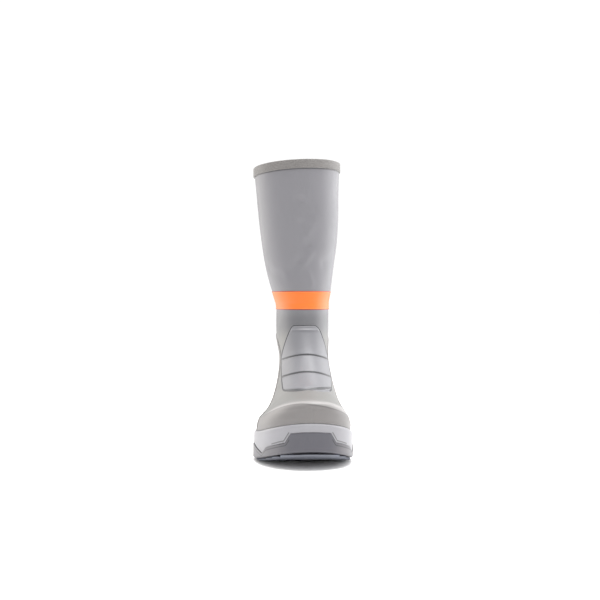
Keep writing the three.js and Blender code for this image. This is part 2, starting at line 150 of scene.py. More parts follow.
# Plan outline of the foot against a plain ellipse, from heel (0) to toe (1)
OUTLINE = table(
    "along lateral medial axis",
    (0.00, 0.98, 0.98, 0.000), (0.12, 0.92, 0.92, 0.000), (0.26, 0.84, 0.82, -0.006),
    (0.42, 0.84, 0.78, -0.024), (0.56, 0.95, 0.92, -0.044), (0.69, 1.06, 1.06, -0.054),
    (0.82, 1.14, 1.18, -0.046), (0.93, 1.26, 1.32, -0.030), (1.00, 1.36, 1.40, -0.018),
)

# Rings of the foot in shares of the upper's length, its width and the rise to the ankle
FOOT = table(
    "front top back rear half middle foot",
    (1.000, 0.000, 0.000, 0.000, 0.498, 0.058, 1.00),
    (0.998, 0.052, -0.003, 0.046, 0.494, 0.061, 1.00),
    (0.993, 0.107, -0.003, 0.098, 0.478, 0.070, 0.95),
    (0.978, 0.162, 0.000, 0.156, 0.425, 0.083, 0.86),
    (0.880, 0.217, 0.007, 0.226, 0.376, 0.083, 0.72),
    (0.757, 0.312, 0.017, 0.305, 0.336, 0.081, 0.50),
    (0.633, 0.442, 0.027, 0.416, 0.300, 0.077, 0.28),
    (0.532, 0.597, 0.037, 0.545, 0.278, 0.069, 0.12),
    (0.465, 0.792, 0.040, 0.740, 0.299, 0.054, 0.00),
    (0.431, 1.000, 0.037, 1.000, 0.303, 0.058, 0.00),
)

# Rings of the leg in shares of the collar's depth and width and the rise to the collar
LEGS = table(
    "height front back half middle tilt",
    (0.050, 0.914, 0.074, 0.315, 0.052, 0.00), (0.115, 0.914, 0.066, 0.343, 0.046, 0.00),
    (0.210, 0.914, 0.050, 0.376, 0.034, 0.02), (0.320, 0.921, 0.034, 0.408, 0.026, 0.06),
    (0.440, 0.934, 0.016, 0.438, 0.024, 0.14), (0.620, 0.957, -0.002, 0.466, 0.016, 0.34),
    (0.800, 0.978, -0.012, 0.481, 0.003, 0.64), (1.000, 0.985, -0.015, 0.500, -0.006, 1.00),
)

# Top edge of the outsole from the toe (0) to the heel (180 degrees), in shares of the sole's height
SPLIT = table(
    "turn height",
    (0, 0.71), (16, 0.71), (21, 0.43), (41, 0.38), (47, 0.22), (65, 0.58), (70, 0.58),
    (79, 0.30), (92, 0.48), (112, 0.48), (132, 0.58), (142, 0.28), (154, 0.58), (180, 0.58),
)

# Front view of the instep guard, in shares of the rise to the ankle and of the upper's width
GUARD = table(
    "height lateral medial",
    (0.314, -0.200, 0.308), (0.392, -0.204, 0.326), (0.468, -0.200, 0.326),
    (0.560, -0.194, 0.312), (0.640, -0.174, 0.292), (0.726, -0.140, 0.258),
    (0.810, -0.096, 0.212), (0.846, -0.066, 0.168),
)
GUARD_GROOVES = ((0.470, 0.050), (0.606, 0.050))

# Side view of the heel guard's front edge, in shares of the upper's length and of the rise
HEEL_GUARD = table(
    "along height",
    (-0.10, 0.800), (0.200, 0.770), (0.300, 0.710), (0.365, 0.595), (0.430, 0.445),
    (0.505, 0.315), (0.600, 0.218), (0.655, 0.140), (0.700, 0.084), (0.722, 0.030),
    (0.726, -0.100),
)

# Soft troughs (-) and ridges (+) of the leg: turn from the toe in degrees and height at both ends,
# half width and depth
CREASES = (
    (2, 330, 14, 306, 7, -1.7), (16, 304, 6, 284, 7, 1.53), (0, 300, 10, 272, 6, -1.53),
    (14, 262, 2, 246, 5, 1.7), (-4, 252, -20, 238, 7, -1.53), (10, 236, 16, 222, 5, 1.19),
    (70, 262, 40, 250, 8, -1.36), (-66, 240, -40, 232, 7, -1.02), (150, 300, 176, 288, 9, -1.36),
    (-150, 292, -174, 300, 9, 1.19), (110, 350, 128, 318, 10, -1.19), (-110, 344, -124, 316, 10, -1.19),
)

# Short oblique lines in the foxing beside the bumper: turn from the toe and height at both ends
DASHES = ((17.6, 26.0, 21.9, 17.2), (21.9, 17.2, 34.0, 16.2))


def smooth(rows, key, column, at):
    """Smooth value of a column between rows, whose keys may be unevenly spaced."""
    values = rows[column]
    keys = rows[key] if key else np.arange(len(values), dtype=float)
    last = len(values) - 1
    low = np.maximum(np.arange(last + 1) - 1, 0)
    high = np.minimum(np.arange(last + 1) + 1, last)
    slopes = (values[high] - values[low]) / (keys[high] - keys[low])
    i = np.clip(np.searchsorted(keys, at) - 1, 0, last - 1)
    span = keys[i + 1] - keys[i]
    f = np.clip((at - keys[i]) / span, 0, 1)
    bend = f * f * (3 - 2 * f)
    start, end = f * (1 - f) ** 2, f * f * (f - 1)
    return (values[i] * (1 - bend) + values[i + 1] * bend
            + span * (slopes[i] * start + slopes[i + 1] * end))


RINGS = {name: np.concatenate(parts) for name, parts in {
    "front": (SOLE_LIP + FOOT["front"] * UPPER_LENGTH, SOLE_LIP + LEGS["front"] * COLLAR_DEPTH),
    "top": (FEATHER + FOOT["top"] * RISE, ANKLE_HEIGHT + LEGS["height"] * (LEG + COLLAR_RISE)),
    "back": (SOLE_LIP + FOOT["back"] * UPPER_LENGTH, SOLE_LIP + LEGS["back"] * COLLAR_DEPTH),
    "rear": (FEATHER + FOOT["rear"] * RISE, ANKLE_HEIGHT + LEGS["height"] * LEG),
    "half": (FOOT["half"] * UPPER_WIDTH, LEGS["half"] * COLLAR_WIDTH),
    "middle": (FOOT["middle"] * UPPER_WIDTH, LEGS["middle"] * COLLAR_WIDTH),
    "foot": (FOOT["foot"], 0 * LEGS["tilt"]),
    "tilt": (0 * FOOT["foot"], LEGS["tilt"] * COLLAR_TILT),
}.items()}
TOP_LEVEL = len(RINGS["front"]) - 1


def spring(along):
    """Rise of the forefoot towards the toe at a distance from the heel."""
    share = np.maximum(along - SPRING_START, 0) / (SOLE_LENGTH - SPRING_START)
    return TOE_SPRING * share ** 2


def arch(along):
    """Rise of the sole's underside at the arch."""
    share = np.clip(np.minimum(along - ARCH_START, ARCH_END - along) / ARCH_SLOPE, 0, 1)
    return ARCH_HEIGHT * share ** 2 * (3 - 2 * share)


def along_of(point):
    """Distance from the heel of a point."""
    return SOLE_LENGTH / 2 - point[..., 1]


def rise_at(share):
    """Height of a share of the rise from the feather line to the ankle."""
    return FEATHER + share * RISE


def run_length(line):
    """Distance of each point of a line from its first, along it."""
    return np.concatenate([[0], np.cumsum(np.linalg.norm(np.diff(line, axis=0), axis=-1))])


def surface(level, turn):
    """Points of the boot's outer form, by ring and by turn from the heel past the lateral side."""
    level, turn = np.broadcast_arrays(np.asarray(level, float), np.asarray(turn, float))
    ring = {name: smooth(RINGS, None, name, level) for name in RINGS}
    share = (1 - np.cos(turn)) / 2
    side = np.where(np.sin(turn) > 0, smooth(OUTLINE, "along", "lateral", share),
                    smooth(OUTLINE, "along", "medial", share))
    fullness = 1 + (side - 1) * ring["foot"]
    axis = smooth(OUTLINE, "along", "axis", share) * BALL_WIDTH * ring["foot"]
    along = ring["back"] + (ring["front"] - ring["back"]) * share
    height = ring["rear"] + (ring["top"] - ring["rear"]) * share - ring["tilt"] * np.sin(turn)
    x = ring["middle"] + axis - ring["half"] * fullness * np.sin(turn)
    return np.stack([x, SOLE_LENGTH / 2 - along, height + spring(along)], -1)


def outward(level, turn):
    """Outward direction of the form, level at the feather line and at the collar."""
    level, turn = np.broadcast_arrays(np.asarray(level, float), np.asarray(turn, float))
    step = 0.02
    up = (surface(np.minimum(level + step, TOP_LEVEL), turn)
          - surface(np.maximum(level - step, 0), turn))
    normal = np.cross(surface(level, turn + step) - surface(level, turn - step), up)
    normal[..., 2] = np.where((level <= 0) | (level >= TOP_LEVEL), 0, normal[..., 2])
    return normal / np.linalg.norm(normal, axis=-1, keepdims=True)


def line_distance(points, *lines):
    """Distance from points in a plane or in space to the nearest of several lines of corners."""
    flat = points.reshape(-1, points.shape[-1])
    nearest = np.full(len(flat), np.inf)
    for line in lines:
        corners = np.asarray(line, float)
        for start, end in zip(corners[:-1], corners[1:]):
            run = end - start
            share = np.clip((flat - start) @ run / max(run @ run, 1e-9), 0, 1)
            gap = flat - start - share[:, None] * run
            nearest = np.minimum(nearest, np.einsum("ij,ij->i", gap, gap))
    return np.sqrt(nearest).reshape(points.shape[:-1])


def crease(level, turn, height):
    """Height of the soft troughs and ridges of the leg."""
    from_toe = (turn % (2 * HALF_TURN) - HALF_TURN) * LEG_RADIUS
    unrolled_at = np.stack(np.broadcast_arrays(from_toe, height), -1)
    total = np.zeros(height.shape)
    for turn_a, height_a, turn_b, height_b, width, depth in CREASES:
        a = (math.radians(turn_a) * LEG_RADIUS, height_a)
        b = (math.radians(turn_b) * LEG_RADIUS, height_b)
        total += depth * np.exp(-(line_distance(unrolled_at, (a, b)) / width) ** 2)
    return total


def skin(level, turn, offset):
    """Points at an offset from the form, creases included."""
    point = surface(level, turn)
    raised = offset + crease(level, turn, point[..., 2])
    return point + outward(level, turn) * raised[..., None]


def level_at(turn, height_of, low=0.0, high=float(TOP_LEVEL)):
    """Level at each turn where the form reaches a height, which may depend on the point."""
    turn = np.asarray(turn, float)
    low, high = np.full(turn.shape, low), np.full(turn.shape, high)
    for _ in range(40):
        middle = (low + high) / 2
        point = surface(middle, turn)
        under = point[..., 2] < height_of(point)
        low, high = np.where(under, middle, low), np.where(under, high, middle)
    return (low + high) / 2


def round_edge(distance, radius):
    """Share of a raised layer's thickness near its edge, as a quarter round."""
    share = np.clip(distance / radius, 0, 1)
    return np.sqrt(1 - (1 - share) ** 2)


def soft_step(value):
    """Smooth step from 0 to 1."""
    share = np.clip(value, 0, 1)
    return share ** 2 * (3 - 2 * share)


def grid_faces(rows, columns, wrap, start=0, turned=False):
    """Quads of a grid of points, whose columns may join round."""
    r, c = np.meshgrid(np.arange(rows - 1), np.arange(columns if wrap else columns - 1), indexing="ij")
    right = (c + 1) % columns
    quads = [r * columns + c, r * columns + right, (r + 1) * columns + right, (r + 1) * columns + c]
    return np.stack(quads[::-1] if turned else quads, -1).reshape(-1, 4) + start


def strip_faces(first, second, closed):
    """Quads between two lines of point numbers."""
    a, b = np.asarray(first), np.asarray(second)
    if closed:
        a, b = np.append(a, a[0]), np.append(b, b[0])
    return np.stack([a[:-1], a[1:], b[1:], b[:-1]], -1)


def shell(outer, inner, wrap):
    """Points and faces of a closed shell between two grids of the same size."""
    rows, columns = outer.shape[:2]
    count = rows * columns
    number = np.arange(count).reshape(rows, columns)
    faces = [grid_faces(rows, columns, wrap), grid_faces(rows, columns, wrap, count, True)]
    faces.append(strip_faces(count + number[0], number[0], wrap))
    faces.append(strip_faces(number[-1], count + number[-1], wrap))
    if not wrap:
        faces.append(strip_faces(number[:, 0], count + number[:, 0], False))
        faces.append(strip_faces(count + number[:, -1], number[:, -1], False))
    return np.concatenate([outer.reshape(-1, 3), inner.reshape(-1, 3)]), np.concatenate(faces)


def stack(rings, endless=False):
    """Points and faces of a stack of rings, capped by strips across or joined into a loop."""
    rings = np.asarray(rings)
    rows, columns = rings.shape[:2]
    faces = [grid_faces(rows, columns, True)]
    number = np.arange(rows * columns).reshape(rows, columns)
    if endless:
        faces.append(strip_faces(number[-1], number[0], True))
    else:
        i = np.arange(columns // 2)
        for ring, turned in ((number[0], True), (number[-1], False)):
            quads = np.stack([ring[i], ring[i + 1], ring[columns - i - 1], ring[-i]], -1)
            faces.append(quads[:, ::-1] if turned else quads)
    return rings.reshape(-1, 3), np.concatenate(faces)


def linear(code):
    """Linear colour of an sRGB hex value."""
    parts = [int(code[i:i + 2], 16) / 255 for i in (1, 3, 5)]
    return tuple(p / 12.92 if p <= 0.04045 else ((p + 0.055) / 1.055) ** 2.4 for p in parts)


def add(tree, kind, inputs=None, **settings):
    """Adds a node with its settings, and sets or links its inputs by name or number."""
    node = tree.nodes.new(kind)
    for name, value in settings.items():
        setattr(node, name, value)
    for key, value in (inputs or {}).items():
        if isinstance(value, bpy.types.NodeSocket):
            tree.links.new(value, node.inputs[key])
        else:
            node.inputs[key].default_value = value
    return node


def mesh_piece(name, points, faces, material, node, fields=None):
    """A mesh object from millimetre points, in the place of a CAD node."""
    mesh = bpy.data.meshes.new(name)
    rows = [list(dict.fromkeys(face)) for face in np.asarray(faces).tolist()]
    mesh.from_pydata((np.asarray(points) * MM).tolist(), [], rows)
    mesh.polygons.foreach_set("use_smooth", [True] * len(mesh.polygons))
    for field, values in (fields or {}).items():
        attribute = mesh.attributes.new(field, "FLOAT", "POINT")
        attribute.data.foreach_set("value", np.asarray(values, np.float32).ravel())
    mesh.materials.append(material)
    mesh.update()
    mesh.set_sharp_from_angle(angle=math.radians(50))
    return stand_in(bpy.data.objects.new(name, mesh), node)


def stand_in(piece, node):
    """Links a finished piece, and lets it ride and stand for its CAD node."""
    if piece.name not in bpy.context.scene.collection.objects:
        bpy.context.scene.collection.objects.link(piece)
    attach(piece, "root")
    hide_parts(node)
    return piece


def metres(name, description, default, low, high):
    """A length in metres, to be set in the sidebar."""
    return FloatProperty(name=name, description=description, default=default, min=low, max=high,
                         unit="LENGTH")


def paint_of(name, description, code):
    """A base colour, to be set in the sidebar."""
    return FloatVectorProperty(name=name, description=description, default=linear(code), min=0, max=1,
                               size=3, subtype="COLOR")


class BootSizes(bpy.types.PropertyGroup):
    """Sizes of the rubber layers that a maker would change."""
    guard_pad: metres("Instep pad", "Rise of the instep guard's pads", 0.0015, 0.001, 0.003)
    guard_web: metres("Instep web", "Thickness of the guard between its pads", 0.0006, 0.0003, 0.002)
    toe_guard: metres("Toe guard", "Thickness of the rand round the toe", 0.0022, 0.0005, 0.003)
    heel_guard: metres("Heel guard", "Thickness of the panel over the heel", 0.0009, 0.0005, 0.003)
    band: metres("Ankle band", "Thickness of the coloured band", 0.0006, 0.0003, 0.002)
    binding: metres("Collar binding", "Thickness of the binding over the collar", 0.0009, 0.0005, 0.002)
    sole_round: metres("Foxing round", "Radius of the foxing's top edge", 0.0034, 0.0005, 0.004)


class BootColours(bpy.types.PropertyGroup):
    """Colours of the rubbers and the textile."""
    leg: paint_of("Leg", "Rubber of the leg", "#6c6b6f")
    foot: paint_of("Foot", "Rubber of the foot", "#666563")
    # Ankle: painted shade, a darker colour on the leg just below the band, where it faces slightly down
    ankle: paint_of("Ankle", "Painted shade on the rubber just below the band", "#58585b")
    # Ridge: painted highlight on the vamp just over the toe guard, where it faces the top light
    ridge: paint_of("Ridge", "Painted highlight on the ridge above the toe guard", "#898685")
    rand: paint_of("Rand", "Rubber of the toe and heel guards", "#6a6766")
    guard: paint_of("Guard", "Rubber of the instep guard", "#68686c")
    band: paint_of("Band", "Rubber of the ankle band", "#f2640f")
    foxing: paint_of("Foxing", "Rubber of the midsole", "#838286")
    tread: paint_of("Tread", "Rubber of the outsole's toe bumper", "#44434a")
    # Tread sides: painted light, a lighter colour on the outsole's sides where the side lights fall
    tread_painted_side_light: paint_of("Tread sides", "Outsole's sides, lightened as painted side light", "#58565a")
    # Lugs: the rubber's own grey lightened as painted light, for the light that reaches the tread under
    # the raised toe
    lugs: paint_of("Lugs", "Rubber of the tread's lugs, lightened as painted light", "#71747d")
    binding: paint_of("Binding", "Rubbered tape of the collar binding", "#726f6d")
    lining: paint_of("Lining", "Knit of the lining and the footbed", "#55545a")


class BootStage(bpy.types.PropertyGroup):
    """Camera, floor and light of the picture."""
    distance: metres("Camera distance", "From the camera to the leg's axis", 1.55, 0.5, 5)
    height: metres("Camera height", "Of the level camera over the floor", 0.2, 0.05, 2)
    swing: FloatProperty(
        name="Camera swing", description="How far the camera stands to the lateral side",
        default=math.radians(3), min=-3.2, max=3.2, subtype="ANGLE")
    lens: FloatProperty(
        name="Lens", description="Focal length on a 36 mm sensor, in millimetres",
        default=67.8, min=20, max=200)
    daylight: FloatProperty(
        name="Surroundings", description="Strength of the white surroundings",
        default=1.06, min=0, max=10)


def rubber(name, colour, mottle=0.06, roughness=0.5, line=None, low=(), side=None):
    """Moulded rubber: satin, with a faint bloom in patches and a fine grain left by the mould.

    line: a distance field in millimetres, the width of the dark line round its zero, and its tone.
    low: colours, each with the height in millimetres below which it takes over, the lowest first.
    side: a second colour of painted light, mixed in by a field on the piece's points.
    """
    material = bpy.data.materials.new(name)
    material.use_nodes = True
    tree = material.node_tree
    shader = tree.nodes["Principled BSDF"]
    place = add(tree, "ShaderNodeTexCoord").outputs["Object"]
    patches = add(tree, "ShaderNodeTexNoise", {
        "Vector": place, "Scale": 16.0, "Detail": 3.0, "Roughness": 0.6})
    base = Vector(colour)
    dark, pale = base * (1 - mottle), base * (1 + mottle)
    tint = add(tree, "ShaderNodeMix", {
        0: patches.outputs["Fac"], "A": (*dark, 1), "B": (*pale, 1)}, data_type="RGBA")
    paint = tint.outputs["Result"]
    height = add(tree, "ShaderNodeSeparateXYZ", {0: place}).outputs["Z"]
    for under, top in reversed(low):
        share = add(tree, "ShaderNodeMapRange", {
            0: height, "From Min": (top - FADE_BELOW) * MM, "From Max": (top + FADE_ABOVE) * MM},
            interpolation_type="SMOOTHSTEP")
        faded = add(tree, "ShaderNodeMix", {
            0: share.outputs["Result"], "A": (*under, 1), "B": paint}, data_type="RGBA")
        paint = faded.outputs["Result"]
    # Painted light: a lit colour mixed in where the piece's field says
    if side:
        share = add(tree, "ShaderNodeAttribute", attribute_name="painted_light_and_cell_tone").outputs["Fac"]
        painted_light_and_cell_tone = add(tree, "ShaderNodeMix", {0: share, "A": paint, "B": (*side, 1)}, data_type="RGBA")
        paint = painted_light_and_cell_tone.outputs["Result"]
    if line:
        field, width, tone = line
        signed = add(tree, "ShaderNodeAttribute", attribute_name=field).outputs["Fac"]
        gap = add(tree, "ShaderNodeMath", {0: signed}, operation="ABSOLUTE").outputs["Value"]
        share = add(tree, "ShaderNodeMapRange", {
            0: gap, "From Min": width * LINE_CORE, "From Max": width, "To Min": tone, "To Max": 1.0},
            interpolation_type="SMOOTHSTEP")
        lined = add(tree, "ShaderNodeMix", {
            0: 1.0, "A": paint, "B": share.outputs["Result"]}, data_type="RGBA", blend_type="MULTIPLY")
        paint = lined.outputs["Result"]
    tree.links.new(paint, shader.inputs["Base Color"])
    gloss = add(tree, "ShaderNodeMapRange", {
        0: patches.outputs["Fac"], "From Min": 0.3, "From Max": 0.7,
        "To Min": roughness - 0.05, "To Max": roughness + 0.06})
    tree.links.new(gloss.outputs["Result"], shader.inputs["Roughness"])
    skin_grain = add(tree, "ShaderNodeTexNoise", {
        "Vector": place, "Scale": 900.0, "Detail": 2.0, "Roughness": 0.5})
    waves = add(tree, "ShaderNodeTexNoise", {
        "Vector": place, "Scale": 60.0, "Detail": 2.0, "Roughness": 0.5})
    swell = add(tree, "ShaderNodeBump", {
        "Height": waves.outputs["Fac"], "Strength": 0.25, "Distance": 0.0012})
    bump = add(tree, "ShaderNodeBump", {
        "Height": skin_grain.outputs["Fac"], "Strength": 0.5, "Distance": 0.00006,
        "Normal": swell.outputs["Normal"]})
    tree.links.new(bump.outputs["Normal"], shader.inputs["Normal"])
    shader.inputs["IOR"].default_value = 1.52
    shader.inputs["Coat Weight"].default_value = 0.08
    shader.inputs["Coat Roughness"].default_value = 0.35
    return material


def woven(name, colour):
    """Rubbered binding tape: the press of its cloth shows as fine slanted cells 1.7 mm apart."""
    material = rubber(name, colour, mottle=0.1, roughness=0.62)
    tree = material.node_tree
    shader = tree.nodes["Principled BSDF"]
    place = add(tree, "ShaderNodeTexCoord").outputs["Object"]
    turned = add(tree, "ShaderNodeMapping", {
        "Vector": place, "Rotation": (0.6, 0.5, 0.4)})
    cells = add(tree, "ShaderNodeTexVoronoi", {
        "Vector": turned.outputs["Vector"], "Scale": 590.0, "Randomness": 0.45}, feature="F1")
    press = add(tree, "ShaderNodeBump", {
        "Height": cells.outputs["Distance"], "Strength": 0.9, "Distance": 0.0007,
        "Normal": shader.inputs["Normal"].links[0].from_socket})
    tree.links.new(press.outputs["Normal"], shader.inputs["Normal"])
    painted_light_and_cell_tone = add(tree, "ShaderNodeMapRange", {
        0: cells.outputs["Distance"], "From Min": 0.1, "From Max": 0.7, "To Min": 1.08, "To Max": 0.72})
    paint = add(tree, "ShaderNodeMix", {
        0: 1.0, "A": shader.inputs["Base Color"].links[0].from_socket, "B": painted_light_and_cell_tone.outputs["Result"]},
        data_type="RGBA", blend_type="MULTIPLY")
    tree.links.new(paint.outputs["Result"], shader.inputs["Base Color"])
    return material


def knit(name, colour):
    """Knitted nylon lining: matt loops about 1.6 mm apart, drawn wide enough to show."""
    material = bpy.data.materials.new(name)
    material.use_nodes = True
    tree = material.node_tree
    shader = tree.nodes["Principled BSDF"]
    place = add(tree, "ShaderNodeTexCoord").outputs["Object"]
    loops = add(tree, "ShaderNodeTexVoronoi", {
        "Vector": place, "Scale": 620.0, "Randomness": 0.35})
    base = Vector(colour)
    tint = add(tree, "ShaderNodeMix", {
        0: loops.outputs["Distance"], "A": (*(base * 1.25), 1), "B": (*(base * 0.6), 1)},
        data_type="RGBA")
    tree.links.new(tint.outputs["Result"], shader.inputs["Base Color"])
    bump = add(tree, "ShaderNodeBump", {
        "Height": loops.outputs["Distance"], "Strength": 0.6, "Distance": 0.0004})
    bump.invert = True
    tree.links.new(bump.outputs["Normal"], shader.inputs["Normal"])
    shader.inputs["Roughness"].default_value = 0.95
    shader.inputs["Sheen Weight"].default_value = 0.3
    return material


def upper_rows(count):
    """Levels spaced evenly in height up the boot's back and front."""
    dense = np.linspace(0, TOP_LEVEL, 400)
    length = run_length(surface(dense, HALF_TURN))
    return np.interp(np.linspace(0, length[-1], count), length, dense)


def overlay(name, level, turn, rise, sunk, field, material, node, inside=FAR, wrap=False):
    """A closed layer over the upper, with a named field on its outer face for the painted line."""
    outer = skin(level, turn, LIFT + rise)
    inner = skin(level, turn, np.full(turn.shape, -sunk))
    points, faces = shell(outer, inner, wrap)
    label, values = field
    values = np.broadcast_to(values, turn.shape).ravel()
    fields = {label: np.concatenate([values, np.full(values.size, inside)])}
    mesh_piece(name, points, faces, material, node, fields)


def toe_top(point):
    """Height of the toe guard's top edge over a point of the form."""
    along = along_of(point)
    top_end = SOLE_LIP + (TOE_GUARD_END + TOE_GUARD_RAKE) * UPPER_LENGTH
    swell = np.sin(np.clip((along - top_end) / (SOLE_LENGTH + SOLE_LIP - top_end), 0, 1) * HALF_TURN / 2)
    height = TOE_GUARD_SIDE + (TOE_GUARD_HEIGHT - TOE_GUARD_SIDE) * swell
    return FEATHER + height + spring(along) - TOE_GUARD_LEAN * point[..., 0]


class BOOT_OT_upper(bpy.types.Operator):
    """Hollow upper of the foot and the leg, with its lining inside"""
    bl_idname = "boot.make_upper"
    bl_label = "Upper"

    def execute(self, context):
        colours = context.scene.boot_colours
        rows, columns = 170, 320
        turns = np.arange(columns) * 2 * HALF_TURN / columns
        levels = upper_rows(rows)[:, None]
        inside = upper_rows(LINING_ROWS)[::-1, None]
        base = surface(levels, turns[None, :])
        over = base[..., 2] - toe_top(base)
        front = soft_step((along_of(base) - RIDGE_START) / RIDGE_FADE)
        outer = skin(levels, turns[None, :], TOE_RIDGE * np.exp(-(over / RIDGE_WIDTH) ** 2) * front)
        inner = skin(inside, turns[None, :], np.full((LINING_ROWS, columns), -WALL))
        points, faces = stack(np.concatenate([outer, inner]), endless=True)
        # Below 160 mm the foot's own warmer colour; from there up to the band at 187 mm the ankle's
        # painted shade
        low = ((tuple(colours.foot), ANKLE_FADE), (tuple(colours.ankle), BAND_BASE))
        line = ("seam", 1.4, 0.45)
        leg = rubber("laid_up_leg_rubber", colours.leg, line=line, low=low, side=colours.ridge)
        drop = surface(TOP_LEVEL, turns)[:, 2] - base[..., 2]
        drop = (drop - BINDING_HEIGHT + 0.7).ravel()
        seam = np.concatenate([drop, np.full(LINING_ROWS * columns, FAR)])
        # Painted highlight: share of the ridge's paler colour just over the toe guard's edge
        ridge = (np.exp(-((over - HIGHLIGHT_OVER) / HIGHLIGHT_WIDTH) ** 2) * front).ravel()
        fields = {"seam": seam, "painted_light_and_cell_tone": np.concatenate([ridge, np.zeros(LINING_ROWS * columns)])}
        piece = mesh_piece("upper_skin", points, faces, leg, "upper", fields)
        piece.data.materials.append(knit("knitted_lining", colours.lining))
        slots = np.zeros(len(piece.data.polygons), np.int32)
        slots[rows * columns:(rows + LINING_ROWS - 1) * columns] = 1
        piece.data.polygons.foreach_set("material_index", slots)
        return {"FINISHED"}


class BOOT_OT_toe_guard(bpy.types.Operator):
    """Raised rand round the toe"""
    bl_idname = "boot.make_toe_guard"
    bl_label = "Toe guard"

    def execute(self, context):
        thickness = context.scene.boot_sizes.toe_guard / MM
        end = SOLE_LIP + TOE_GUARD_END * UPPER_LENGTH
        top_end = end + TOE_GUARD_RAKE * UPPER_LENGTH
        up = 1 - (1 - np.linspace(0, 1, 60)) ** 1.7
        reaches = []
        for side in (-1, 1):
            low, high = np.zeros(60), np.full(60, HALF_TURN)
            for _ in range(40):
                half = (low + high) / 2
                level = up * level_at(HALF_TURN + side * half, toe_top, high=6.0)
                past = along_of(surface(level, HALF_TURN + side * half)) > end + (top_end - end) * up
                low, high = np.where(past, half, low), np.where(past, high, half)
            reaches.append(half[:, None])
        across = np.linspace(-1, 1, 301)
        across = np.sign(across) * (1 - (1 - np.abs(across)) ** 1.25)
        turn = HALF_TURN + across * np.where(across < 0, reaches[0], reaches[1])
        level = up[:, None] * level_at(turn, toe_top, high=6.0)
        base = surface(level, turn)
        distance = line_distance(base, base[-1], base[:, 0], base[:, -1])
        middle = np.exp(-(base[..., 0] - TOE_SEAM) ** 2 / 0.8) * 0.3 * (along_of(base) > SOLE_LENGTH / 2)
        lean = 0.6 + 0.4 * up[:, None]
        rise = thickness * lean * round_edge(distance, 0.7) - middle
        colour = context.scene.boot_colours.rand
        # Painted shade: a darker line along the rand's edges, where it steps out from the upper
        material = rubber("moulded_rand_rubber_toe", colour, line=("edge", 1.6, 0.72))
        overlay("toe_rand", level, turn, rise, RAND_SUNK, ("edge", distance - 0.5), material,
                "toe_guard")
        return {"FINISHED"}


def front_view(x, z):
    """Level and turn of the points of the form's front that lie at x and z."""
    dense = np.linspace(0, TOP_LEVEL, 200)
    level = np.interp(z, surface(dense, HALF_TURN)[:, 2], dense)
    middle = smooth(RINGS, None, "middle", level)
    half = smooth(RINGS, None, "half", level)
    turn = HALF_TURN - np.arcsin(np.clip((middle - x) / half, -0.97, 0.97))
    step = 1e-3
    for _ in range(12):
        here = surface(level, turn)
        by_level = (surface(level + step, turn) - here) / step
        by_turn = (surface(level, turn + step) - here) / step
        miss_x, miss_z = x - here[..., 0], z - here[..., 2]
        area = by_level[..., 0] * by_turn[..., 2] - by_level[..., 2] * by_turn[..., 0]
        d_level = (miss_x * by_turn[..., 2] - miss_z * by_turn[..., 0]) / area
        d_turn = (miss_z * by_level[..., 0] - miss_x * by_level[..., 2]) / area
        level = np.clip(level + np.clip(d_level, -0.5, 0.5), 0, TOP_LEVEL)
        turn = turn + np.clip(d_turn, -0.15, 0.15)
    return level, turn


def corner(left, radius):
    """How far an outline draws in round a corner, at a distance from its end."""
    return radius - np.sqrt(np.maximum(radius ** 2 - np.maximum(radius - left, 0) ** 2, 0))


